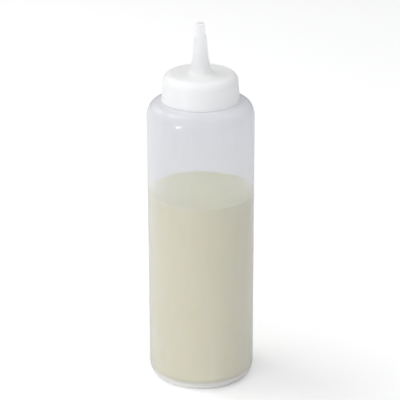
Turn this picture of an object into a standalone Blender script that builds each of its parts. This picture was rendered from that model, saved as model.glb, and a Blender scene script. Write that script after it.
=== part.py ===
"""A condiment squeeze bottle of 16 fl oz, half full of a pale creamy sauce.

Three turned pieces share the Z axis: the blow-moulded bottle with its threaded
neck, the moulded cap whose nozzle is bored right through, and the sauce that
fills the bottle to its level. Every outline is drawn in the X-Z plane and turned
about Z. The origin is the centre of the base, on the surface the bottle stands
on, and lengths are metres.
"""

import math

import bmesh
import bpy

OBJECT_NAME = "squeeze_bottle"

STEPS = 56  # facets round the axis
FULL_TURN = 2 * math.pi
MERGE = 0.00001
SHARP_ANGLE = math.radians(32)
CLEARANCE = 0.0003  # between two pieces that touch

# Bottle body
BODY_RADIUS = 0.03175
WALL = 0.0010
FLOOR = 0.0022  # the base is moulded thicker than the wall
HEEL_WIDTH = 0.0068  # the rounded foot, measured along the radius
HEEL_HEIGHT = 0.0080
RING_WIDTH = 0.0045  # the flat ring that it stands on
PUSH_UP = 0.0020  # how far the middle of the base is pushed in
SHOULDER_FOOT = 0.1658
SHOULDER_RISE = 0.0102
SHOULDER_WIDTH = 0.0097
SHOULDER_FULLNESS = 2.5  # 2 is an ellipse, more is squarer

# Neck
NECK_RADIUS = 0.0185
NECK_WALL = 0.0019
NECK_FILLET = 0.0015
MOUTH_ROUND = 0.0010  # where the bore opens into the body
LIP_ROUND = 0.0005

# Cap
CAP_GAP = 0.0006  # daylight between the skirt and the shoulder
CAP_FOOT_RADIUS = 0.0231
CAP_EDGE_RADIUS = 0.0221  # the skirt has this draft from foot to edge
CAP_WALL = 0.0019
CAP_SKIRT = 0.0115  # the straight side, up to the rounded edge
CAP_EDGE_ROUND = 0.0050
CAP_FOOT_ROUND = 0.0004
DOME_SLOPE = math.radians(2)  # of the nearly flat top, where it meets the rounded edge
SEAL_WIDTH = 0.0024  # flat ring above the bottle's lip

# Nozzle
HEIGHT = 0.2230  # of the whole object, to the nozzle's tip
NOZZLE_FOOT_RADIUS = 0.0074
NOZZLE_NECK_RADIUS = 0.0043  # where the flare turns into a cone
NOZZLE_NECK_BELOW_TIP = 0.0170
FLARE_FULLNESS = 1.4  # 2 is an ellipse, less is closer to a straight cone
STEP_RADIUS = 0.00355  # top of the cone, where the narrow tip begins
STEP_BELOW_TIP = 0.0078
TIP_FOOT_RADIUS = 0.0028
TIP_RADIUS = 0.0026
TIP_ROUND = 0.0005
NOZZLE_WALL = 0.0012

# Screw thread, a ridge on the neck and one in the cap
THREAD_PITCH = 0.0042
THREAD_TURNS = 1.25
THREAD_DEPTH = 0.0011
THREAD_ROOT_WIDTH = 0.0022
THREAD_CREST_WIDTH = 0.0010
THREAD_SINK = 0.0006  # how deep a ridge is rooted in its wall

# Sauce
SAUCE_LEVEL = 0.1190
SAUCE_EDGE = 0.0006  # rounding of its surface at the wall

# Heights and radii that follow from these
SHOULDER_TOP = SHOULDER_FOOT + SHOULDER_RISE
SHOULDER_INNER = BODY_RADIUS - SHOULDER_WIDTH
HEEL_CENTRE = (BODY_RADIUS - HEEL_WIDTH, HEEL_HEIGHT)
CAP_FOOT = SHOULDER_TOP + CAP_GAP
CAP_EDGE_CENTRE = (CAP_EDGE_RADIUS - CAP_EDGE_ROUND, CAP_FOOT + CAP_SKIRT)
CAP_INNER_ROUND = CAP_EDGE_ROUND - CAP_WALL
CAP_UNDERSIDE = CAP_EDGE_CENTRE[1] + CAP_INNER_ROUND * math.cos(DOME_SLOPE)
NECK_TOP = CAP_UNDERSIDE - CLEARANCE
FLARE_CENTRE = (NOZZLE_FOOT_RADIUS, HEIGHT - NOZZLE_NECK_BELOW_TIP)
THREAD_MIDDLE = (SHOULDER_TOP + NECK_TOP) / 2

MATERIALS = {
    "bottle": {"colour": (0.80, 0.81, 0.83), "roughness": 0.32, "alpha": 0.45},
    "cap": {"colour": (0.86, 0.87, 0.88), "roughness": 0.38, "alpha": 1.0},
    "sauce": {"colour": (0.68, 0.65, 0.50), "roughness": 0.45, "alpha": 1.0},
}


def arc(centre, radii, start, end, segments, fullness=2.0):
    """Points on an ellipse, or on a squarer curve, from one angle to another.

    Angles are degrees from +X towards +Z. A point is the centre plus each
    radius times the cosine or sine, raised to the power two over the fullness.
    """
    points = []
    for i in range(segments + 1):
        angle = math.radians(start + (end - start) * i / segments)
        cosine, sine = math.cos(angle), math.sin(angle)
        points.append(
            (
                centre[0] + radii[0] * math.copysign(abs(cosine) ** (2 / fullness), cosine),
                centre[1] + radii[1] * math.copysign(abs(sine) ** (2 / fullness), sine),
            )
        )
    return points


def dome_height(radius, edge):
    """Height of the cap's top at a radius: a parabola that ends in the edge's slope."""
    rise = edge[0] * math.tan(DOME_SLOPE) / 2
    return edge[1] + rise * (1 - (radius / edge[0]) ** 2)


def base_outline(inset, lift, segments):
    """The base from the axis out to the wall, inset from the side and lifted."""
    push_up = (HEEL_CENTRE[0] - RING_WIDTH, PUSH_UP)
    heel = (HEEL_WIDTH - inset, HEEL_HEIGHT - lift)
    return [
        *arc((0, lift), push_up, 90, 0, 4),
        *arc(HEEL_CENTRE, heel, -90, 0, segments),
    ]


def shoulder_outline(inset, segments):
    """The shoulder from the flat beside the neck out and down to the wall."""
    return arc(
        (SHOULDER_INNER, SHOULDER_FOOT),
        (SHOULDER_WIDTH - inset, SHOULDER_RISE - inset),
        90,
        0,
        segments,
        SHOULDER_FULLNESS,
    )


def bottle_outline():
    """The hollow bottle: up its inner side from the axis, over the lip and down."""
    bore = NECK_RADIUS - NECK_WALL
    mouth = (bore + MOUTH_ROUND, SHOULDER_TOP - WALL + MOUTH_ROUND)
    lip_outer = (NECK_RADIUS - LIP_ROUND, NECK_TOP - LIP_ROUND)
    lip_inner = (bore + LIP_ROUND, NECK_TOP - LIP_ROUND)
    fillet = (NECK_RADIUS + NECK_FILLET, SHOULDER_TOP + NECK_FILLET)
    return [
        *base_outline(WALL, FLOOR, 5),
        *reversed(shoulder_outline(WALL, 6)),
        *arc(mouth, (MOUTH_ROUND, MOUTH_ROUND), 270, 180, 2),
        *arc(lip_inner, (LIP_ROUND, LIP_ROUND), 180, 90, 2),
        *arc(lip_outer, (LIP_ROUND, LIP_ROUND), 90, 0, 2),
        *arc(fillet, (NECK_FILLET, NECK_FILLET), 180, 270, 3),
        *shoulder_outline(0, 9),
        *reversed(base_outline(0, 0, 7)),
    ]


def nozzle_outside(dome_edge):
    """The nozzle's outer side, from the tip down to the cap's top."""
    foot = dome_height(NOZZLE_FOOT_RADIUS, dome_edge)
    flare = (NOZZLE_FOOT_RADIUS - NOZZLE_NECK_RADIUS, FLARE_CENTRE[1] - foot)
    step = HEIGHT - STEP_BELOW_TIP
    tip = (TIP_RADIUS - TIP_ROUND, HEIGHT - TIP_ROUND)
    return [
        *arc(tip, (TIP_ROUND, TIP_ROUND), 90, 0, 2),
        (TIP_FOOT_RADIUS, step + STEP_RADIUS - TIP_FOOT_RADIUS),
        (STEP_RADIUS, step),
        *arc(FLARE_CENTRE, flare, 180, 270, 5, FLARE_FULLNESS),
    ]


def nozzle_bore(dome_edge):
    """The channel, from the hollow under the cap up to the mouth of the tip."""
    foot = dome_height(NOZZLE_FOOT_RADIUS, dome_edge) - CAP_WALL
    neck = NOZZLE_NECK_RADIUS - NOZZLE_WALL
    flare = (NOZZLE_FOOT_RADIUS - neck, FLARE_CENTRE[1] - foot)
    step = HEIGHT - STEP_BELOW_TIP - NOZZLE_WALL
    return [
        *arc(FLARE_CENTRE, flare, 270, 180, 4, FLARE_FULLNESS),
        (STEP_RADIUS - NOZZLE_WALL, step),
        (TIP_FOOT_RADIUS - NOZZLE_WALL, step + STEP_RADIUS - TIP_FOOT_RADIUS),
        (TIP_RADIUS - NOZZLE_WALL, HEIGHT),
    ]


def cap_outline():
    """The whole cap: down its outer side from the tip, and back up inside."""
    edge = (CAP_EDGE_ROUND, CAP_EDGE_ROUND)
    edge_end = 90 - math.degrees(DOME_SLOPE)
    outer_edge = arc(CAP_EDGE_CENTRE, edge, edge_end, 0, 5)
    dome_edge = outer_edge[0]
    dome_radii = [
        NOZZLE_FOOT_RADIUS + (dome_edge[0] - NOZZLE_FOOT_RADIUS) * i / 3 for i in (1, 2)
    ]
    foot = (CAP_FOOT_RADIUS - CAP_FOOT_ROUND, CAP_FOOT + CAP_FOOT_ROUND)
    foot_inner = CAP_FOOT_RADIUS - CAP_WALL
    inner_edge = (CAP_INNER_ROUND, CAP_INNER_ROUND)
    inside = arc(CAP_EDGE_CENTRE, inner_edge, 0, edge_end, 3)
    seal_inner = NECK_RADIUS - SEAL_WIDTH
    return [
        *nozzle_outside(dome_edge),
        *((radius, dome_height(radius, dome_edge)) for radius in dome_radii),
        *outer_edge,
        *arc(foot, (CAP_FOOT_ROUND, CAP_FOOT_ROUND), 0, -90, 2),
        (foot_inner, CAP_FOOT),
        *inside,
        (seal_inner, CAP_UNDERSIDE),
        *nozzle_bore(dome_edge),
    ]


def sauce_outline():
    """The sauce: the bottle's inside less a clearance, filled to its level."""
    inset = WALL + CLEARANCE
    edge_centre = (BODY_RADIUS - inset - SAUCE_EDGE, SAUCE_LEVEL - SAUCE_EDGE)
    return [
        (0, SAUCE_LEVEL),
        *arc(edge_centre, (SAUCE_EDGE, SAUCE_EDGE), 90, 0, 2),
        *reversed(base_outline(inset, FLOOR + CLEARANCE, 5)),
    ]


def thread_outline(wall, crest):
    """The ridge's cross-section, from inside the wall it stands on to its crest."""
    outward = math.copysign(1, crest - wall)
    root = wall - outward * THREAD_SINK
    half_root = THREAD_ROOT_WIDTH / 2
    half_crest = THREAD_CREST_WIDTH / 2
    section = [(root, half_root), (crest, half_crest), (crest, -half_crest), (root, -half_root)]
    return section if outward > 0 else section[::-1]


def collection(name):
    """A new collection in the scene."""
    made = bpy.data.collections.new(name)
    bpy.context.scene.collection.children.link(made)
    return made


def outline_object(name, outline, closed, home):
    """An object that holds an outline as a chain of edges in the X-Z plane."""
    vertices = [(radius, 0, height) for radius, height in outline]
    edges = [(i, i + 1) for i in range(len(vertices) - 1)]
    if closed:
        edges.append((len(vertices) - 1, 0))
    mesh = bpy.data.meshes.new(name)
    mesh.from_pydata(vertices, edges, [])
    made = bpy.data.objects.new(name, mesh)
    home.objects.link(made)
    return made


def turn(obj, turns=1.0, rise=0.0):
    """Turns an object's outline about Z, climbing by rise in each turn."""
    screw = obj.modifiers.new("turn", "SCREW")
    screw.axis = "Z"
    screw.angle = FULL_TURN * turns
    screw.screw_offset = rise * turns
    screw.steps = round(STEPS * turns)
    screw.render_steps = screw.steps
    screw.use_merge_vertices = rise == 0
    screw.merge_threshold = MERGE


def apply_modifiers(obj):
    """Puts the shape that an object's modifiers make into its own mesh."""
    bpy.context.view_layer.update()
    seen = obj.evaluated_get(bpy.context.evaluated_depsgraph_get())
    mesh = bpy.data.meshes.new_from_object(seen)
    obj.modifiers.clear()
    obj.data = mesh


def close_ends(obj):
    """Caps the two open ends of a ridge and turns its faces outwards."""
    shape = bmesh.new()
    shape.from_mesh(obj.data)
    bmesh.ops.holes_fill(shape, edges=shape.edges, sides=4)
    bmesh.ops.recalc_face_normals(shape, faces=shape.faces)
    shape.to_mesh(obj.data)
    shape.free()


def add_thread(obj, wall, crest, middle, tools):
    """Joins a helical ridge to a turned wall, its middle at a height."""
    ridge = outline_object(f"{obj.name}_thread", thread_outline(wall, crest), True, tools)
    turn(ridge, THREAD_TURNS, THREAD_PITCH)
    apply_modifiers(ridge)
    close_ends(ridge)
    ridge.location.z = middle - THREAD_PITCH * THREAD_TURNS / 2
    ridge.rotation_euler.z = FULL_TURN / STEPS / 2  # its ends fall inside a facet
    ridge.hide_render = True
    ridge.display_type = "WIRE"
    union = obj.modifiers.new("thread", "BOOLEAN")
    union.operation = "UNION"
    union.object = ridge


def material(name):
    """A Principled material with one sub-part's colour, gloss and clearness."""
    look = MATERIALS[name]
    made = bpy.data.materials.new(name)
    made.use_nodes = True
    shader = made.node_tree.nodes["Principled BSDF"]
    shader.inputs["Base Color"].default_value = (*look["colour"], 1)
    shader.inputs["Roughness"].default_value = look["roughness"]
    shader.inputs["Metallic"].default_value = 0
    shader.inputs["Alpha"].default_value = look["alpha"]
    return made


def finish(obj):
    """Applies the shape, gives it its material and shades its round faces smooth."""
    apply_modifiers(obj)
    obj.data.materials.clear()
    obj.data.materials.append(material(obj.name))
    obj.data.shade_smooth()
    obj.data.set_sharp_from_angle(angle=SHARP_ANGLE)


def make_bottle(home, tools):
    """The translucent bottle, with its thread on the outside of the neck."""
    bottle = outline_object("bottle", bottle_outline(), False, home)
    turn(bottle)
    middle = THREAD_MIDDLE + THREAD_PITCH / 4
    add_thread(bottle, NECK_RADIUS, NECK_RADIUS + THREAD_DEPTH, middle, tools)
    finish(bottle)


def make_cap(home, tools):
    """The cap and its nozzle, with the thread that runs under the neck's."""
    cap = outline_object("cap", cap_outline(), True, home)
    turn(cap)
    wall = (CAP_FOOT_RADIUS + CAP_EDGE_RADIUS) / 2 - CAP_WALL
    crest = NECK_RADIUS + CLEARANCE
    middle = THREAD_MIDDLE - THREAD_PITCH / 4
    add_thread(cap, wall, crest, middle, tools)
    finish(cap)


def make_sauce(home):
    """The sauce in the bottle."""
    sauce = outline_object("sauce", sauce_outline(), False, home)
    turn(sauce)
    finish(sauce)


def main():
    for old in list(bpy.context.scene.objects):
        bpy.data.objects.remove(old, do_unlink=True)
    home = collection(OBJECT_NAME)
    tools = collection("thread_tools")
    make_bottle(home, tools)
    make_cap(home, tools)
    make_sauce(home)


main()
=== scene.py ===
# %% [markdown]
# # A squeeze bottle of sauce
#
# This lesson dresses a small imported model: a round squeeze bottle of natural
# polyethylene, its moulded nozzle cap, and the pale creamy sauce inside. The
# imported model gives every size. Each piece is worked out again as a fine skin,
# given its finish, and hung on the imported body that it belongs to.

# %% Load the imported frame
import math

import bpy
import numpy as np
from mathutils import Matrix, Vector


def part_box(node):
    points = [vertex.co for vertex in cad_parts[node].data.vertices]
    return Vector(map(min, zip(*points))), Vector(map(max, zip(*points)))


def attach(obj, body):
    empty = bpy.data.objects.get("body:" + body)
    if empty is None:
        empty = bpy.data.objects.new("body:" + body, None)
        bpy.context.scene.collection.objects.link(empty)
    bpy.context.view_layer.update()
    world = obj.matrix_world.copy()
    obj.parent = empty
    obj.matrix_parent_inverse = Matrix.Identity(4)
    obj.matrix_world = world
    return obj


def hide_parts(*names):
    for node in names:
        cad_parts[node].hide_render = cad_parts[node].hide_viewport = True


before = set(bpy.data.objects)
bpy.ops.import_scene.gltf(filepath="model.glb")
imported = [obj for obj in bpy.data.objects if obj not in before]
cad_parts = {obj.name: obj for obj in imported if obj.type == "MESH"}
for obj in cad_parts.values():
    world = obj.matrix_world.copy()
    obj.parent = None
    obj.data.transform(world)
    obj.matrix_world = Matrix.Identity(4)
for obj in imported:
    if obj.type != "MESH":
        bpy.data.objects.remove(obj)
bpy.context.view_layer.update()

print("nodes in the frame:", ", ".join(sorted(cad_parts)))

# %% [markdown]
# ## Sizes
#
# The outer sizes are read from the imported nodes, so that a skin always lands on
# its solid. What a box can't tell, such as a wall's thickness or the roundness of
# the heel, is a named length in metres.

# %% Read the sizes that the frame gives
BOTTLE_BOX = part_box("bottle")
CAP_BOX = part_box("cap")
SAUCE_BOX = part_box("sauce")
BODY_RADIUS = BOTTLE_BOX[1][0]
NECK_TOP = BOTTLE_BOX[1][2]
CAP_FOOT = CAP_BOX[0][2]
CAP_FOOT_RADIUS = CAP_BOX[1][0]
HEIGHT = CAP_BOX[1][2]
SAUCE_LEVEL = SAUCE_BOX[1][2]
print(f"body {2000 * BODY_RADIUS:.1f} mm across, {1000 * HEIGHT:.1f} mm tall")
print(f"sauce up to {1000 * SAUCE_LEVEL:.1f} mm")

# %% Name the sizes of the bottle that its box can't give
WALL = 0.0010
FLOOR = 0.0022  # the base is moulded thicker than the wall
HEEL_WIDTH = 0.0068  # the rounded foot, measured along the radius
HEEL_HEIGHT = 0.0080
RING_WIDTH = 0.0045  # the flat ring that it stands on
PUSH_UP = 0.0020
CAP_GAP = 0.0001  # daylight under the cap
SHOULDER_WIDTH = 0.0097
SHOULDER_RISE = 0.0107
SHOULDER_FULLNESS = 2.5
NECK_RADIUS = 0.0185
NECK_WALL = 0.0019
NECK_FILLET = 0.0015
MOUTH_ROUND = 0.0010
LIP_ROUND = 0.0005

SHOULDER_TOP = CAP_FOOT - CAP_GAP
SHOULDER_FOOT = SHOULDER_TOP - SHOULDER_RISE
SHOULDER_INNER = BODY_RADIUS - SHOULDER_WIDTH
HEEL_CENTRE = (BODY_RADIUS - HEEL_WIDTH, HEEL_HEIGHT)
print(f"shoulder from {1000 * SHOULDER_FOOT:.1f} to {1000 * SHOULDER_TOP:.1f} mm")

# %% Name the sizes of the cap and its nozzle
CAP_EDGE_RADIUS = 0.0221  # the skirt has this draft from foot to edge
CAP_WALL = 0.0019
CAP_SKIRT = 0.0115
CAP_EDGE_ROUND = 0.0050
CAP_FOOT_ROUND = 0.00012
TOP_SLOPE = math.radians(2)
SEAL_WIDTH = 0.0024
NOZZLE_FOOT_RADIUS = 0.0074
NOZZLE_NECK_RADIUS = 0.0043
NOZZLE_NECK_BELOW_TIP = 0.0170
FLARE_FULLNESS = 1.4
STEP_RADIUS = 0.00355
STEP_BELOW_TIP = 0.0078
TIP_FOOT_RADIUS = 0.0028
TIP_RADIUS = 0.0026
TIP_ROUND = 0.0005
NOZZLE_WALL = 0.0012

CAP_EDGE_CENTRE = (CAP_EDGE_RADIUS - CAP_EDGE_ROUND, CAP_FOOT + CAP_SKIRT)
CAP_INNER_ROUND = CAP_EDGE_ROUND - CAP_WALL
CAP_UNDERSIDE = CAP_EDGE_CENTRE[1] + CAP_INNER_ROUND * math.cos(TOP_SLOPE)
print(f"nozzle {1000 * (HEIGHT - CAP_EDGE_CENTRE[1]):.1f} mm above the cap's edge")

# %% [markdown]
# ## Turned skins
#
# Everything on this bottle came out of a round mould, so every skin is a profile
# carried round the axis. A Screw modifier would do that too, but a grid worked
# out with numpy can also carry relief: a thread, a weld line, a slow wave in the
# wall. The profile runs down the outer side, so that its faces look outwards.


# %% Draw the stretches of a profile
SAME_POINT = 1e-6  # points of a profile closer than this are one


def arc(centre, radii, start, end, count, fullness=2.0):
    """Points on a rounded corner from one angle to another, in degrees.

    A point is the centre plus each radius times the cosine or sine, raised to
    the power two over the fullness: 2 gives an ellipse, more a squarer corner.
    """
    angle = np.radians(np.linspace(start, end, count))
    cosine, sine = np.cos(angle), np.sin(angle)
    power = 2 / fullness
    across = centre[0] + radii[0] * np.sign(cosine) * np.abs(cosine) ** power
    up = centre[1] + radii[1] * np.sign(sine) * np.abs(sine) ** power
    return np.column_stack([across, up])


def straight(start, end, count):
    """Evenly spaced points between two ends, without the ends themselves."""
    return np.linspace(start, end, count + 2)[1:-1]


def joined(*stretches):
    """One profile of stretches in order, without points that fall together."""
    points = np.vstack([np.atleast_2d(stretch) for stretch in stretches])
    gaps = np.linalg.norm(np.diff(points, axis=0), axis=1)
    return points[np.concatenate([[True], gaps > SAME_POINT])]


# %% Find which way a profile faces
def normals_of(profile, closed):
    """Unit normals: the way from the point before to the point after, turned left."""
    if closed:
        along = np.roll(profile, -1, axis=0) - np.roll(profile, 1, axis=0)
    else:
        along = np.gradient(profile, axis=0)
    left = np.column_stack([-along[:, 1], along[:, 0]])
    return left / np.linalg.norm(left, axis=1)[:, None]


# %% Carry a profile round the axis
SHARP_ANGLE = math.radians(50)
AROUND = 192  # columns of the finest skins
BESIDE_SEAM = np.radians([-0.5, -0.2, 0.2, 0.5])
ON_AXIS = 1e-9


def columns(around, seams=()):
    """Even angles round the axis, with four more close beside each seam."""
    even = np.linspace(0, 2 * math.pi, around, endpoint=False)
    beside = [seam + offset for seam in seams for offset in BESIDE_SEAM]
    return np.sort(np.mod(np.concatenate([even, beside]), 2 * math.pi))


def turned(name, profile, angles, closed=False, relief=None, lift=None, first_rows=0):
    """A skin: each point of a profile, at each angle round the Z axis.

    A point is the profile's radius and height, pushed along the profile's normal
    by relief(radius, height, angle) and raised by lift(radius, height, angle),
    then turned about Z. A point of the profile on the axis becomes one vertex
    with a fan of triangles. The first first_rows rows take material slot 1.
    """
    angle = angles[None, :]
    radius, height = profile[:, :1], profile[:, 1:]
    normal = normals_of(profile, closed)
    push = 0 if relief is None else relief(radius, height, angle)
    rise = 0 if lift is None else lift(radius, height, angle)
    across = radius + push * normal[:, :1] + 0 * angle
    up = height + push * normal[:, 1:] + rise + 0 * angle
    points = np.stack([across * np.cos(angle), across * np.sin(angle), up], axis=-1)

    pole = profile[:, 0] < ON_AXIS
    count = np.where(pole, 1, len(angles))
    first = np.cumsum(count) - count
    index = first[:, None] + np.where(pole[:, None], 0, np.arange(len(angles)))
    kept = np.arange(len(angles)) < count[:, None]
    faces, slots = fill_between(index, pole, closed, first_rows)

    mesh = bpy.data.meshes.new(name)
    mesh.from_pydata(points[kept], [], faces)
    mesh.polygons.foreach_set("material_index", slots)
    mesh.shade_smooth()
    mesh.set_sharp_from_angle(angle=SHARP_ANGLE)
    made = bpy.data.objects.new(name, mesh)
    bpy.context.scene.collection.objects.link(made)
    print(f"{name}: {len(mesh.vertices)} points, {len(faces)} faces")
    return made


def fill_between(index, pole, closed, first_rows):
    """Quads between each ring of points and the next, or triangles at a pole."""
    upper = index if closed else index[:-1]
    lower = np.roll(index, -1, axis=0) if closed else index[1:]
    corners = [upper, lower, np.roll(lower, -1, axis=1), np.roll(upper, -1, axis=1)]
    rings = np.stack(corners, axis=-1)
    faces, slots = [], []
    for row, ring in enumerate(rings):
        if pole[row]:
            ring = ring[:, :3]
        elif pole[(row + 1) % len(pole)]:
            ring = ring[:, [0, 1, 3]]
        faces += ring.tolist()
        slots += [int(row < first_rows)] * len(ring)
    return faces, slots


# %% [markdown]
# ## Slow waves
#
# No blown wall is truly round and no sauce lies truly flat. A few sine waves of
# different lengths, added up, give an uneven surface that is the same each run.


# %% A wave round the bottle
SLOW_WAVE = (0.5, 2, 18, 0.6)
SLANTED_WAVE = (0.3, 3, -41, 2.1)
SHORT_WAVE = (0.2, 5, 97, 4.0)


def waver(height, angle, depth):
    """A slow unevenness: three sines of the angle and the height, depth at most.

    Each wave has its share of the depth, its crests round the bottle, how many
    radians it shifts a metre up, and its phase in radians.
    """
    waves = (SLOW_WAVE, SLANTED_WAVE, SHORT_WAVE)
    total = sum(
        share * np.sin(crests * angle + shift * height + phase)
        for share, crests, shift, phase in waves
    )
    return depth * total


def smooth_step(value, start, end):
    """0 before start and 1 after end, with no kink between them."""
    share = np.clip((value - start) / (end - start), 0, 1)
    return share * share * (3 - 2 * share)


# %% [markdown]
# ## The screw thread
#
# The neck carries a ridge of one and a quarter turns, and a second one in the cap
# runs under it. A ridge could be a Boolean union, but on a grid it is only
# relief: a height above the wall that depends on how far a point is from the
# helix. Its ends run out gently, as moulded ones do.

# %% The thread as relief
THREAD_PITCH = 0.0042
THREAD_TURNS = 1.25
THREAD_DEPTH = 0.0011
THREAD_ROOT_WIDTH = 0.0022
THREAD_CREST_WIDTH = 0.0010
THREAD_RUN_OUT = 0.04  # of a turn, at each end
THREAD_MIDDLE = (SHOULDER_TOP + NECK_TOP) / 2
THREAD_CLEARANCE = 0.0003


def thread_share(height, angle, middle):
    """How much of the ridge stands at a point, from 0 to 1.

    The helix climbs one pitch a turn. Across it the ridge is a trapezium: full on
    its crest and falling straight to nothing at its root. Along it the share
    grows from nothing within the run-out at each end.
    """
    total = 0
    for whole_turns in range(math.ceil(THREAD_TURNS)):
        turns = whole_turns + angle / (2 * math.pi)
        helix = middle + THREAD_PITCH * (turns - THREAD_TURNS / 2)
        aside = np.abs(height - helix)
        ridge = (THREAD_ROOT_WIDTH / 2 - aside) / (THREAD_ROOT_WIDTH - THREAD_CREST_WIDTH) * 2
        grown = np.minimum(turns, THREAD_TURNS - turns) / THREAD_RUN_OUT
        total = total + np.clip(ridge, 0, 1) * np.clip(grown, 0, 1)
    return total


# %% [markdown]
# ## The bottle
#
# The bottle is blow-moulded: a hot tube of polyethylene is pinched shut by the
# two halves of a mould and blown against them. That leaves a thin wall, a thicker
# base pushed up in the middle, a weld line across the base, and a fine parting
# line up each side. The skin is one closed surface, with the wall's inner and
# outer faces as separate material slots.

# %% The bottle's profile
NECK_ROWS = 64  # fine enough for the thread


def base_profile(inset, lift):
    """The base from the axis out to the wall, inset from the side and lifted."""
    middle = HEEL_CENTRE[0] - RING_WIDTH
    push_up = arc((0, lift), (middle, PUSH_UP), 90, 0, 22)
    push_up[0, 0] = 0
    ring = straight((middle, lift), (HEEL_CENTRE[0], lift), 3)
    heel = arc(HEEL_CENTRE, (HEEL_WIDTH - inset, HEEL_HEIGHT - lift), -90, 0, 18)
    return joined(push_up, ring, heel)


def shoulder_profile(inset, count):
    """The shoulder from the flat beside the neck out and down to the wall."""
    centre = (SHOULDER_INNER, SHOULDER_FOOT)
    radii = (SHOULDER_WIDTH - inset, SHOULDER_RISE - inset)
    return arc(centre, radii, 90, 0, count, SHOULDER_FULLNESS)


def inside_profile():
    """Up the inner side from the axis to the neck's bore, just under the lip."""
    bore = NECK_RADIUS - NECK_WALL
    inner = BODY_RADIUS - WALL
    mouth = (bore + MOUTH_ROUND, SHOULDER_TOP - WALL + MOUTH_ROUND)
    flat = (mouth[0], SHOULDER_TOP - WALL)
    return joined(
        base_profile(WALL, FLOOR),
        straight((inner, HEEL_HEIGHT), (inner, SHOULDER_FOOT), 40),
        shoulder_profile(WALL, 16)[::-1],
        straight((SHOULDER_INNER, SHOULDER_TOP - WALL), flat, 2),
        arc(mouth, (MOUTH_ROUND, MOUTH_ROUND), 270, 180, 6),
        straight((bore, mouth[1]), (bore, NECK_TOP - LIP_ROUND), 10),
    )


def outside_profile():
    """Over the lip, down the threaded neck and the outer side, back to the axis."""
    bore = NECK_RADIUS - NECK_WALL
    lip_inner = (bore + LIP_ROUND, NECK_TOP - LIP_ROUND)
    lip_outer = (NECK_RADIUS - LIP_ROUND, NECK_TOP - LIP_ROUND)
    fillet = (NECK_RADIUS + NECK_FILLET, SHOULDER_TOP + NECK_FILLET)
    return joined(
        arc(lip_inner, (LIP_ROUND, LIP_ROUND), 180, 90, 5),
        arc(lip_outer, (LIP_ROUND, LIP_ROUND), 90, 0, 5),
        straight((NECK_RADIUS, lip_outer[1]), (NECK_RADIUS, fillet[1]), NECK_ROWS),
        arc(fillet, (NECK_FILLET, NECK_FILLET), 180, 270, 8),
        shoulder_profile(0, 30),
        straight((BODY_RADIUS, SHOULDER_FOOT), (BODY_RADIUS, HEEL_HEIGHT), 60),
        base_profile(0, 0)[::-1],
    )


# %% The bottle's relief
WALL_WAVER = 0.00006
WAVER_FROM, WAVER_FULL = 0.75, 0.95  # of the body's radius
PARTING_HEIGHT = 0.00005
PARTING_WIDTH = math.radians(0.35)
WELD_HEIGHT = 0.0003
WELD_WIDTH = 0.0006
WELD_REACH = 0.017  # from the middle of the base
WELD_FADES = 0.8  # of its reach


def bottle_relief(radius, height, angle):
    """The thread, the parting lines, the weld line and the wall's unevenness.

    The parting lines are bumps in the angle at plus and minus X. The weld line is
    a bump across Y, along the pushed-up base. Waver and lines keep to the wall.
    """
    on_neck = (height > SHOULDER_TOP + NECK_FILLET) & (radius > NECK_RADIUS - LIP_ROUND)
    thread = thread_share(height, angle, THREAD_MIDDLE + THREAD_PITCH / 4)
    on_wall = smooth_step(radius, WAVER_FROM * BODY_RADIUS, WAVER_FULL * BODY_RADIUS)
    outer = radius > BODY_RADIUS - WALL / 2
    from_seam = np.abs(np.mod(angle + math.pi / 2, math.pi) - math.pi / 2)
    parting = np.exp(-((from_seam / PARTING_WIDTH) ** 2)) * outer
    across = radius * np.sin(angle)
    under = height < PUSH_UP + FLOOR / 2
    weld = np.exp(-((across / WELD_WIDTH) ** 2)) * under
    weld = weld * (1 - smooth_step(radius, WELD_FADES * WELD_REACH, WELD_REACH))
    return (
        THREAD_DEPTH * thread * on_neck
        + PARTING_HEIGHT * parting
        + WELD_HEIGHT * weld
        - on_wall * waver(height, angle, WALL_WAVER) * outer
    )


# %% Make the bottle
inside = inside_profile()
bottle = turned(
    "bottle_skin",
    joined(inside, outside_profile()),
    columns(AROUND, seams=(0, math.pi)),
    relief=bottle_relief,
    first_rows=len(inside),
)

# %% [markdown]
# ## The cap
#
# The cap is injection-moulded in a softer polyethylene, as one piece with its
# nozzle: a skirt with a little draft, a rounded edge, a top that is almost flat,
# and a flare that runs up into a cone with a narrower tip. Its profile is a closed
# loop, up the inside and out through the bore, then down the outside, so the
# nozzle is truly open.

# %% The cap's profile
MOUTH_EDGE_ROUND = 0.00025
FOOT_EDGE_ROUND = 0.0003
CAP_EDGE_END = 90 - math.degrees(TOP_SLOPE)
CAP_OUTER_EDGE = arc(CAP_EDGE_CENTRE, (CAP_EDGE_ROUND, CAP_EDGE_ROUND), CAP_EDGE_END, 0, 18)


def top_height(radius, edge):
    """The cap's top at a radius: a parabola that ends in the edge's slope."""
    rise = edge[0] * math.tan(TOP_SLOPE) / 2
    return edge[1] + rise * (1 - (radius / edge[0]) ** 2)


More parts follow.
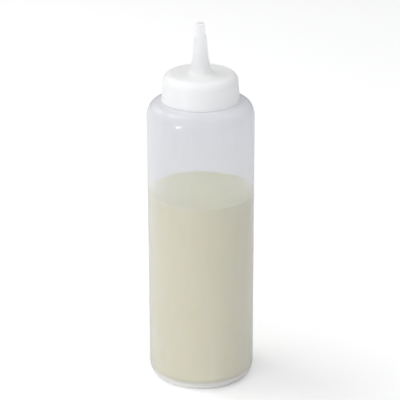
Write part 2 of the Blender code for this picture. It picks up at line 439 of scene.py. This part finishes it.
def nozzle_outside(top_edge):
    """Down the nozzle's outer side, from the tip to the cap's top."""
    foot = top_height(NOZZLE_FOOT_RADIUS, top_edge)
    neck_height = HEIGHT - NOZZLE_NECK_BELOW_TIP
    step = (STEP_RADIUS, HEIGHT - STEP_BELOW_TIP)
    ledge = (TIP_FOOT_RADIUS, step[1] + STEP_RADIUS - TIP_FOOT_RADIUS)
    tip = (TIP_RADIUS - TIP_ROUND, HEIGHT - TIP_ROUND)
    flare = (NOZZLE_FOOT_RADIUS - NOZZLE_NECK_RADIUS, neck_height - foot)
    return joined(
        arc(tip, (TIP_ROUND, TIP_ROUND), 90, 0, 8),
        straight((TIP_RADIUS, tip[1]), ledge, 8),
        ledge,
        straight(ledge, step, 3),
        step,
        straight(step, (NOZZLE_NECK_RADIUS, neck_height), 12),
        arc((NOZZLE_FOOT_RADIUS, neck_height), flare, 180, 270, 28, FLARE_FULLNESS),
    )


def nozzle_bore(top_edge):
    """Up the channel, from the hollow under the cap to the mouth of the tip."""
    foot = top_height(NOZZLE_FOOT_RADIUS, top_edge) - CAP_WALL
    neck_height = HEIGHT - NOZZLE_NECK_BELOW_TIP
    neck = NOZZLE_NECK_RADIUS - NOZZLE_WALL
    flare = (NOZZLE_FOOT_RADIUS - neck, neck_height - foot)
    step = (STEP_RADIUS - NOZZLE_WALL, HEIGHT - STEP_BELOW_TIP - NOZZLE_WALL)
    ledge = (TIP_FOOT_RADIUS - NOZZLE_WALL, step[1] + STEP_RADIUS - TIP_FOOT_RADIUS)
    mouth = TIP_RADIUS - NOZZLE_WALL
    edge = (mouth + MOUTH_EDGE_ROUND, HEIGHT - MOUTH_EDGE_ROUND)
    return joined(
        arc((NOZZLE_FOOT_RADIUS, neck_height), flare, 270, 180, 16, FLARE_FULLNESS),
        straight((neck, neck_height), step, 6),
        step,
        ledge,
        straight(ledge, (mouth, edge[1]), 6),
        arc(edge, (MOUTH_EDGE_ROUND, MOUTH_EDGE_ROUND), 180, 90, 5),
    )


def cap_inside():
    """From the foot up the threaded inner side, along the top and up the bore."""
    foot = (CAP_FOOT_RADIUS - CAP_WALL, CAP_FOOT + FOOT_EDGE_ROUND)
    foot_edge = (foot[0] + FOOT_EDGE_ROUND, foot[1])
    edge = arc(CAP_EDGE_CENTRE, (CAP_INNER_ROUND, CAP_INNER_ROUND), 0, CAP_EDGE_END, 10)
    seal = (NECK_RADIUS - SEAL_WIDTH, CAP_UNDERSIDE)
    bore = nozzle_bore(CAP_OUTER_EDGE[0])
    return joined(
        arc(foot_edge, (FOOT_EDGE_ROUND, FOOT_EDGE_ROUND), 270, 180, 4),
        straight(foot, edge[0], NECK_ROWS),
        edge,
        straight(edge[-1], seal, 4),
        seal,
        straight(seal, bore[0], 6),
        bore,
    )


def cap_outside():
    """Down the nozzle from its tip, along the top and down the skirt to the foot."""
    top = np.linspace(NOZZLE_FOOT_RADIUS, CAP_OUTER_EDGE[0][0], 16)[1:-1]
    foot = (CAP_FOOT_RADIUS - CAP_FOOT_ROUND, CAP_FOOT + CAP_FOOT_ROUND)
    return joined(
        nozzle_outside(CAP_OUTER_EDGE[0]),
        np.column_stack([top, top_height(top, CAP_OUTER_EDGE[0])]),
        CAP_OUTER_EDGE,
        straight(CAP_OUTER_EDGE[-1], (CAP_FOOT_RADIUS, foot[1]), 16),
        arc(foot, (CAP_FOOT_ROUND, CAP_FOOT_ROUND), 0, -90, 5),
    )


# %% The thread in the cap
def cap_relief(radius, height, angle):
    """The ridge inside the skirt, as deep as leaves a clearance to the neck."""
    way_up = (height - CAP_FOOT) / CAP_SKIRT
    wall = CAP_FOOT_RADIUS + (CAP_EDGE_RADIUS - CAP_FOOT_RADIUS) * way_up - CAP_WALL
    depth = wall - NECK_RADIUS - THREAD_CLEARANCE
    on_skirt = (np.abs(radius - wall) < CAP_WALL / 3) & (height > CAP_FOOT + FOOT_EDGE_ROUND)
    return depth * thread_share(height, angle, THREAD_MIDDLE - THREAD_PITCH / 4) * on_skirt


# %% Make the cap
CAP_AROUND = 160
inside = cap_inside()
cap = turned(
    "cap_skin",
    joined(inside, cap_outside()),
    columns(CAP_AROUND),
    closed=True,
    relief=cap_relief,
    first_rows=len(inside),
)

# %% [markdown]
# ## The sauce
#
# The sauce is a thick, pale cream that fills two thirds of the bottle and clings to
# its wall. Its skin reaches a third of a millimetre into the plastic, because a gap
# of air there would show as a bright line. Its surface climbs a little at the wall
# and keeps the slow swells of something that was poured in.

# %% Make the sauce
INTO_WALL = 0.00035
SURFACE_ROWS = 44
CLIMB = 0.0006  # of the surface, at the wall
CLIMB_WIDTH = 0.0014
SWELL = 0.00035
SWELL_X, SWELL_Y = 210, 160  # radians a metre
SLANT_X, SLANT_Y = 330, -240
SWELL_ENDS = 0.6  # of the body's radius, where the swells start to fade out
CONTACT_WAVER = 0.0004
CONTACT_RIPPLES = 9
WAVES_REACH = 0.006  # how far under the surface its waves die out


def sauce_profile():
    """The surface from the axis out to the wall, then down and back underneath."""
    inset = WALL - INTO_WALL
    outer = BODY_RADIUS - inset
    across = outer * np.sin(np.linspace(0, math.pi / 2, SURFACE_ROWS))
    surface = SAUCE_LEVEL + CLIMB * np.exp((across - outer) / CLIMB_WIDTH)
    return joined(
        np.column_stack([across, surface]),
        straight((outer, surface[-1]), (outer, HEEL_HEIGHT), 60),
        base_profile(inset, FLOOR - INTO_WALL)[::-1],
    )


def sauce_lift(radius, height, angle):
    """Swells of the surface, and the wavy line where it meets the wall.

    The swells are a sine across X times one across Y, plus half a slanted sine.
    The line is the slow waver plus a finer sine, both in the angle. All of it fades
    out within a few millimetres under the surface.
    """
    x, y = radius * np.cos(angle), radius * np.sin(angle)
    broad = np.sin(SWELL_X * x + 0.4) * np.sin(SWELL_Y * y + 1.1)
    swell = broad + 0.5 * np.sin(SLANT_X * x + SLANT_Y * y)
    line = waver(0 * height, angle, 1.0) + 0.3 * np.sin(CONTACT_RIPPLES * angle + 1.3)
    at_wall = smooth_step(radius, SWELL_ENDS * BODY_RADIUS, BODY_RADIUS - WALL)
    near_top = smooth_step(height, SAUCE_LEVEL - WAVES_REACH, SAUCE_LEVEL)
    return near_top * (SWELL * swell * (1 - at_wall) + CONTACT_WAVER * line * at_wall)


sauce = turned(
    "sauce_fill",
    sauce_profile(),
    columns(AROUND),
    lift=sauce_lift,
    first_rows=SURFACE_ROWS - 1,
)

# %% [markdown]
# ## Materials
#
# A material here is a short chain of nodes. A small helper adds a node and fills
# its sockets, and a few more name the links that every finish needs, so that each
# finish reads as a list of what it is made of. Every pattern reads Object
# coordinates, which are metres on the piece itself.


# %% Helpers for nodes
def add(tree, kind, sockets=None, **settings):
    """Adds a node, sets its settings, and links or fills each named socket."""
    node = tree.nodes.new(kind)
    for name, value in settings.items():
        setattr(node, name, value)
    for name, value in (sockets or {}).items():
        if isinstance(value, bpy.types.NodeSocket):
            tree.links.new(value, node.inputs[name])
        else:
            node.inputs[name].default_value = value
    return node


def blank_material(name):
    """A new material and its node tree, with only an output in it."""
    made = bpy.data.materials.new(name)
    made.use_nodes = True
    tree = made.node_tree
    for node in list(tree.nodes):
        if node.type != "OUTPUT_MATERIAL":
            tree.nodes.remove(node)
    print("material", name)
    return made, tree, tree.nodes["Material Output"]


# %% Helpers for sums and mixtures
def scaled(tree, value, times, plus, clamp=False):
    """A value times a number, plus a number or a socket."""
    sockets = {0: value, 1: times, 2: plus}
    node = add(tree, "ShaderNodeMath", sockets, operation="MULTIPLY_ADD", use_clamp=clamp)
    return node.outputs[0]


def raised(tree, value, power):
    """A value raised to a power."""
    return add(tree, "ShaderNodeMath", {0: value, 1: power}, operation="POWER").outputs[0]


def mapped(tree, value, start, end, low, high):
    """A value carried from start and end onto low and high, and held at both."""
    sockets = {"Value": value, "From Min": start, "From Max": end, "To Min": low, "To Max": high}
    return add(tree, "ShaderNodeMapRange", sockets).outputs["Result"]


def mixed(tree, share, first, second, kind="RGBA"):
    """From the first to the second, by a share: two colours, or two numbers if FLOAT."""
    sockets = {"Factor": share, "A": first, "B": second}
    return add(tree, "ShaderNodeMix", sockets, data_type=kind).outputs["Result"]


def layered(tree, share, first, second):
    """One shader that gives way to another by a share."""
    return add(tree, "ShaderNodeMixShader", {0: share, 1: first, 2: second}).outputs[0]


# %% Helpers for patterns
NOISE_RANGE = (0.3, 0.7)  # where nearly all of a noise's values lie


def noise(tree, scale, detail=2.0, stretch=(1, 1, 1)):
    """Noise on Object coordinates: scale is lumps a metre, stretch squeezes an axis."""
    place = add(tree, "ShaderNodeTexCoord").outputs["Object"]
    squeezed = add(tree, "ShaderNodeMapping", {"Vector": place, "Scale": stretch})
    sockets = {"Vector": squeezed.outputs["Vector"], "Scale": scale, "Detail": detail}
    return add(tree, "ShaderNodeTexNoise", sockets).outputs["Fac"]


def spread(tree, value, low, high):
    """A noise's values, carried onto the range from low to high."""
    return mapped(tree, value, *NOISE_RANGE, low, high)


def height_on(tree):
    """Height above the floor, which is Z of Object coordinates."""
    place = add(tree, "ShaderNodeTexCoord").outputs["Object"]
    return add(tree, "ShaderNodeSeparateXYZ", {"Vector": place}).outputs["Z"]


def facing_away(tree):
    """0 where a face looks at the eye, rising to 1 where the eye looks along it."""
    return add(tree, "ShaderNodeLayerWeight", {"Blend": 0.5}).outputs["Facing"]


# %% [markdown]
# ## Natural polyethylene
#
# The wall is neither glass nor white: it lets most light straight through and
# scatters the rest. Glass with a cloudy volume would say that too, but it renders
# slowly and no exported model keeps it. Here the scattering is a thin haze on the
# wall, mixed with plain see-through. Part of the scattered light comes back and
# part goes on into the bottle. Where light's way through the plastic is long, at
# the edges and in the thick base, there is more haze and more of it comes back.
# Where sauce lies behind the wall, and in the thick base, the haze is painted darker
# and warmer: a painted shade for the dimmer light behind it. A satin gloss lies
# over everything.

# %% The wall's outer face
HAZE = (0.42, 0.435)  # share of light that the wall scatters, looking straight at it
THICK_HAZE = 0.45  # how much more of it where the light's way is long
EDGE_POWER = 1.5
BASE_HEIGHTS = (0.0046, 0.0078)  # where the base is thick, and where it no longer is
PASSED_ON = 0.45  # share of the scattered light that comes out on the far side
MILK = (0.905, 0.915, 0.96, 1)
SAUCE_SHADE_MILK = (0.735, 0.725, 0.675, 1)  # painted shade: darker and sauce-coloured where sauce lies behind the wall
SHADE_ABOVE_LEVEL = (0.004, 0.009)  # how far above its level the painted shade reaches at the wall's edges
# painted shade: the thick base's haze is darker and warmer, for the dim, sauce-lit light behind
# it
BASE_SHADE_MILK = (0.73, 0.72, 0.70, 1)
THROUGH = (0.865, 0.873, 0.895, 1)
SATIN = (0.13, 0.18)  # roughness of the gloss
HEAD_ON_GLOSS = 0.04  # share of light that plastic mirrors, seen straight on
GRAZING_POWER = 5.0  # how sharply that share rises where the eye looks along it
WALL_STREAKS = 150  # a metre round the bottle
STREAK_SQUEEZE = (1, 1, 0.12)  # which draws them out up the wall
WALL_GRAIN = 1400  # lumps a metre


def share_below(tree, full, none):
    """1 below the height full, falling to 0 at the height none."""
    return mapped(tree, height_on(tree), full, none, 1, 0)


def make_wall_material():
    """Streaked haze and see-through, with painted shade, under a satin gloss."""
    made, tree, output = blank_material("natural_polyethylene")
    streaks = noise(tree, WALL_STREAKS, stretch=STREAK_SQUEEZE)
    base = share_below(tree, *BASE_HEIGHTS)
    facing = facing_away(tree)
    edge = raised(tree, facing, EDGE_POWER)
    both = add(tree, "ShaderNodeMath", {0: edge, 1: base}, operation="ADD", use_clamp=True)
    thick = both.outputs[0]

    # Painted shade: below the sauce's level the haze takes a darker, sauce-coloured milk, and at
    # the edges a little above it too.
    behind = share_below(tree, SAUCE_LEVEL, SAUCE_LEVEL + CLIMB)
    shade_reach = share_below(tree, SAUCE_LEVEL + SHADE_ABOVE_LEVEL[0], SAUCE_LEVEL + SHADE_ABOVE_LEVEL[1])
    sauce_shade = mixed(tree, facing, behind, shade_reach, kind="FLOAT")
    milk = mixed(tree, sauce_shade, MILK, SAUCE_SHADE_MILK)
    milky = {
        "Base Color": mixed(tree, base, milk, BASE_SHADE_MILK),
        "Roughness": 0.4,
        "Specular IOR Level": 0.0,
        "Subsurface Weight": base,
        "Subsurface Radius": (1, 1, 1),
        "Subsurface Scale": 0.003,
    }
    front = add(tree, "ShaderNodeBsdfPrincipled", milky).outputs[0]
    back = add(tree, "ShaderNodeBsdfTranslucent", {"Color": MILK}).outputs[0]
    passed = scaled(tree, thick, -PASSED_ON, PASSED_ON)
    cloudy = layered(tree, passed, front, back)

    clear = add(tree, "ShaderNodeBsdfTransparent", {"Color": THROUGH}).outputs[0]
    haze = scaled(tree, thick, THICK_HAZE, spread(tree, streaks, *HAZE), clamp=True)
    wall = layered(tree, haze, clear, cloudy)

    grain = noise(tree, WALL_GRAIN, detail=1.0)
    bump = add(tree, "ShaderNodeBump", {"Height": grain, "Strength": 0.02, "Distance": 0.0004})
    shine = {"Roughness": spread(tree, streaks, *SATIN), "Normal": bump.outputs["Normal"]}
    gloss = add(tree, "ShaderNodeBsdfGlossy", shine).outputs[0]
    grazing = raised(tree, facing, GRAZING_POWER)
    mirrored = scaled(tree, grazing, 1 - HEAD_ON_GLOSS, HEAD_ON_GLOSS)
    tree.links.new(layered(tree, mirrored, wall, gloss), output.inputs["Surface"])
    return made


bottle.data.materials.append(make_wall_material())
print("share of light that the wall scatters:", HAZE)

# %% The wall's inner face
INNER_HAZE = 0.08
INNER_EDGE_HAZE = 0.20  # how much more of it where the eye looks along the face
INNER_EDGE_POWER = 2.0


def make_inner_material():
    """Nearly clear, but milky where the eye looks along it."""
    made, tree, output = blank_material("polyethylene_inner_face")
    edge = raised(tree, facing_away(tree), INNER_EDGE_POWER)
    haze = scaled(tree, edge, INNER_EDGE_HAZE, INNER_HAZE, clamp=True)
    clear = add(tree, "ShaderNodeBsdfTransparent").outputs[0]
    sockets = {"Base Color": MILK, "Roughness": 0.35}
    milky = add(tree, "ShaderNodeBsdfPrincipled", sockets).outputs[0]
    tree.links.new(layered(tree, haze, clear, milky), output.inputs["Surface"])
    return made


bottle.data.materials.append(make_inner_material())

# %% [markdown]
# ## Milky cap
#
# The cap's wall is nearly twice as thick as the bottle's and full of scattering,
# so light soaks into it and softens every shadow. Subsurface does that. Some light
# also comes out inside, more through the thin nozzle than through the skirt, and
# the inner face is nearly clear, so that this light fills the hollow. The outer
# face is satin, with the fine grain of the mould.

# %% The cap's material
CAP_COLOUR = (0.985, 0.985, 0.995, 1)
CAP_PASSED_ON = (0.18, 0.55)  # share of its light that comes out inside: skirt, nozzle
NOZZLE_THINS = 0.006  # how far above the cap's top its wall has thinned
CAP_THROUGH = (0.96, 0.96, 0.965, 1)
CAP_CLOUDS = 120  # a metre, in the satin
CAP_GRAIN = 1800
CAP_INNER_SHARE = 0.25  # how much of the inner face there is to see


def passed_on(tree):
    """The share for the skirt, rising up the nozzle to the share for the nozzle."""
    top = CAP_EDGE_CENTRE[1] + CAP_EDGE_ROUND
    return mapped(tree, height_on(tree), top, top + NOZZLE_THINS, *CAP_PASSED_ON)


def make_cap_material():
    """Soft white plastic: light spreads inside it, and some comes out behind."""
    made, tree, output = blank_material("milky_cap_plastic")
    clouds = noise(tree, CAP_CLOUDS)
    grain = noise(tree, CAP_GRAIN)
    bump = add(tree, "ShaderNodeBump", {"Height": grain, "Strength": 0.06, "Distance": 0.0004})
    sockets = {
        "Base Color": CAP_COLOUR,
        "Roughness": spread(tree, clouds, 0.34, 0.42),
        "Specular IOR Level": 0.4,
        "Subsurface Weight": 0.8,
        "Subsurface Radius": (1.0, 0.95, 0.9),
        "Subsurface Scale": 0.003,
        "Normal": bump.outputs["Normal"],
    }
    front = add(tree, "ShaderNodeBsdfPrincipled", sockets).outputs[0]
    back = add(tree, "ShaderNodeBsdfTranslucent", {"Color": CAP_THROUGH}).outputs[0]
    tree.links.new(layered(tree, passed_on(tree), front, back), output.inputs["Surface"])
    return made


def make_cap_inner_material():
    """Nearly clear, so that what passes the outer face lights the hollow."""
    made, tree, output = blank_material("milky_cap_inner_face")
    sockets = {"Base Color": CAP_COLOUR, "Roughness": 0.4, "Alpha": CAP_INNER_SHARE}
    shader = add(tree, "ShaderNodeBsdfPrincipled", sockets)
    tree.links.new(shader.outputs[0], output.inputs["Surface"])
    return made


cap.data.materials.append(make_cap_material())
cap.data.materials.append(make_cap_inner_material())

# %% [markdown]
# ## Creamy sauce
#
# The sauce is an emulsion: opaque, wet, and a shade of cream that varies a little
# where oil and water gather. Two nearly equal colours are mixed by soft noise.

# %% The sauce's material
CREAM = (0.875, 0.825, 0.575)  # against the wall
CREAM_LIT_TOP = (0.985, 0.91, 0.45)  # on the open surface: painted light, brighter than the cream, and a little yellower
PALER = 0.15  # how far the paler clouds go towards white
SAUCE_CLOUDS = 95  # a metre
CLOUD_SQUEEZE = (1, 1, 0.6)
SAUCE_LUMPS = 420


def make_sauce_material(name, cream):
    """Wet cream with faint clouds of a paler one, and light soaking in."""
    made, tree, output = blank_material(name)
    clouds = noise(tree, SAUCE_CLOUDS, detail=3.0, stretch=CLOUD_SQUEEZE)
    pale = [channel + PALER * (1 - channel) for channel in cream]
    lumps = noise(tree, SAUCE_LUMPS)
    bump = add(tree, "ShaderNodeBump", {"Height": lumps, "Strength": 0.12, "Distance": 0.0006})
    sockets = {
        "Base Color": mixed(tree, spread(tree, clouds, 0.0, 1.0), (*cream, 1), (*pale, 1)),
        "Roughness": spread(tree, clouds, 0.30, 0.42),
        "Subsurface Weight": 0.4,
        "Subsurface Radius": (1.0, 0.8, 0.5),
        "Subsurface Scale": 0.003,
        "Normal": bump.outputs["Normal"],
    }
    shader = add(tree, "ShaderNodeBsdfPrincipled", sockets)
    tree.links.new(shader.outputs[0], output.inputs["Surface"])
    return made


sauce.data.materials.append(make_sauce_material("creamy_sauce", CREAM))
# The open surface takes a brighter copy of the cream: painted light on the sauce's top.
sauce.data.materials.append(make_sauce_material("creamy_sauce_painted_lit_top", CREAM_LIT_TOP))

# %% [markdown]
# ## Hang the pieces on the frame
#
# Each skin stands for one imported solid, which is hidden, and rides on the root body.

# %% Tie each piece to its node
for piece, node, slot in (
    (bottle, "bottle", "bottle_plastic"),
    (cap, "cap", "cap_plastic"),
    (sauce, "sauce", "sauce"),
):
    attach(piece, "root")
    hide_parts(node)
    print(f"{piece.name} stands for {node}")

# %% [markdown]
# ## Studio
#
# A pale bottle on a pale floor needs light from one side, or it disappears. Large
# soft lamps stand high to the left and behind it. Weaker ones fill in, one from
# the rear and one close by at the right, and a small low one puts a glint on the
# wall. Around them is a white room, brighter towards the window's side. The
# camera sees the floor a little brighter than it is lit, as a sweep of paper is
# exposed, so that it stays white and the shadow stays pale.

# %% The floor
FLOOR_HALF = 4.0
FLOOR_WHITE = 0.88
FLOOR_GLOW = 0.195  # seen by the camera, and giving no light
PAINTED_FOOT_GLOW = 0.17  # painted light: a glowing patch at the bottle's foot that lightens its contact shadow
FOOT_GLOW_CENTRE = (-0.008, -0.012, 0)
FOOT_GLOW_RADII = (0.014, 0.027)  # from full to none


def make_floor():
    """A flat white sheet with two glows.

    One is seen only by the camera. The other is painted light: a soft round patch at
    the bottle's foot, a little to its front and left, that lightens the contact shadow.
    """
    mesh = bpy.data.meshes.new("floor")
    half = FLOOR_HALF
    corners = [(-half, -half, 0), (half, -half, 0), (half, half, 0), (-half, half, 0)]
    mesh.from_pydata(corners, [], [(0, 1, 2, 3)])
    made, tree, output = blank_material("white_sweep")
    seen = add(tree, "ShaderNodeLightPath").outputs["Is Camera Ray"]
    place = add(tree, "ShaderNodeTexCoord").outputs["Object"]
    # Painted light: a glow on the floor round the bottle's foot, set off to the front and left.
    away = add(tree, "ShaderNodeVectorMath", {0: place, 1: FOOT_GLOW_CENTRE}, operation="DISTANCE")
    foot_glow = mapped(tree, away.outputs["Value"], *FOOT_GLOW_RADII, PAINTED_FOOT_GLOW, 0)
    sockets = {
        "Base Color": (FLOOR_WHITE, FLOOR_WHITE, FLOOR_WHITE, 1),
        "Roughness": 0.9,
        "Specular IOR Level": 0.1,
        "Emission Color": (1, 1, 1, 1),
        "Emission Strength": scaled(tree, seen, FLOOR_GLOW, foot_glow),
    }
    shader = add(tree, "ShaderNodeBsdfPrincipled", sockets)
    tree.links.new(shader.outputs[0], output.inputs["Surface"])
    mesh.materials.append(made)
    floor = bpy.data.objects.new("floor", mesh)
    bpy.context.scene.collection.objects.link(floor)
    return floor


make_floor()

# %% The room's even light
ROOM_LIGHT = 0.67
ROOM_SLOPE = 0.57  # how much more the window's side gives, and the other side less
WINDOW_SIDE = (-0.18, -0.98, 0)
ROOM_SEEN = 1.15  # how bright the camera sees it, whichever way it looks
ROOM_COLOUR = (0.975, 0.983, 1.0, 1)


def make_room():
    """A white world whose light grows towards the window's side.

    Its light is an even part plus a slope times the cosine of the angle between a
    direction and the window's side. The camera sees it plain white.
    """
    world = bpy.data.worlds.new("white_room")
    world.use_nodes = True
    tree = world.node_tree
    way = add(tree, "ShaderNodeTexCoord").outputs["Generated"]
    cosine = add(tree, "ShaderNodeVectorMath", {0: way, 1: WINDOW_SIDE}, operation="DOT_PRODUCT")
    light = scaled(tree, cosine.outputs["Value"], ROOM_SLOPE, ROOM_LIGHT)
    seen = add(tree, "ShaderNodeLightPath").outputs["Is Camera Ray"]
    strength = mixed(tree, seen, light, ROOM_SEEN, kind="FLOAT")
    background = tree.nodes["Background"]
    background.inputs["Color"].default_value = ROOM_COLOUR
    tree.links.new(strength, background.inputs["Strength"])
    bpy.context.scene.world = world


make_room()
print(f"room light {ROOM_LIGHT}, and {ROOM_SLOPE} more from the window's side")

# %% The lamps
LAMP_TARGET = Vector((0, 0, 0.09))
LAMP_COLOUR = (1, 0.988, 0.97)


def lamp(name, around, up, distance, size, power):
    """A square soft lamp, placed by its angles about the bottle, facing it.

    around is degrees from the camera's side towards +X, and up is degrees above
    the floor.
    """
    data = bpy.data.lights.new(name, "AREA")
    data.shape = "SQUARE"
    data.size = size
    data.energy = power
    data.color = LAMP_COLOUR
    made = bpy.data.objects.new(name, data)
    bpy.context.scene.collection.objects.link(made)
    side, rise = math.radians(around), math.radians(up)
    way = Vector(
        (math.sin(side) * math.cos(rise), -math.cos(side) * math.cos(rise), math.sin(rise))
    )
    made.location = LAMP_TARGET + distance * way
    made.rotation_euler = way.to_track_quat("Z", "Y").to_euler()
    print(f"{name}: {power} W at {distance} m")


lamp("high_lamp", around=-104, up=60, distance=1.3, size=0.6, power=4.3)
lamp("back_lamp", around=-130, up=35, distance=1.3, size=0.45, power=1.6)
lamp("right_lamp", around=112, up=62, distance=0.6, size=0.25, power=0.32)
lamp("rear_lamp", around=180, up=60, distance=1.3, size=0.45, power=0.55)
lamp("low_lamp", around=-47, up=3.5, distance=1.3, size=0.19, power=2.6)

# %% [markdown]
# ## Camera
#
# A long lens a metre away, looking down a little: it keeps the sides of the
# bottle nearly upright and shows the cap's top as a flat oval.

# %% The camera
SENSOR = 0.036
PICTURE_WIDTH = 400  # in pixels
FOCAL_LENGTH = 1838  # in the same pixels
CAMERA_DISTANCE = 1.100
CAMERA_DOWN = math.radians(21.85)
CAMERA_ROLL = -0.0035  # radians
CAMERA_AIM = Vector((-0.00058, 0, 0.1131))

camera_data = bpy.data.cameras.new("camera")
camera_data.sensor_width = 1000 * SENSOR
camera_data.lens = 1000 * SENSOR * (FOCAL_LENGTH / PICTURE_WIDTH)
camera = bpy.data.objects.new("camera", camera_data)
bpy.context.scene.collection.objects.link(camera)
camera.location = CAMERA_AIM + CAMERA_DISTANCE * Vector(
    (0, -math.cos(CAMERA_DOWN), math.sin(CAMERA_DOWN))
)
tilt = Matrix.Rotation(math.pi / 2 - CAMERA_DOWN, 3, "X")
camera.rotation_euler = (tilt @ Matrix.Rotation(CAMERA_ROLL, 3, "Z")).to_euler()
bpy.context.scene.camera = camera
bpy.context.scene.view_settings.view_transform = "Standard"
print(f"lens {camera_data.lens:.1f} mm")

# %% Bring the scene up to date
bpy.context.view_layer.update()
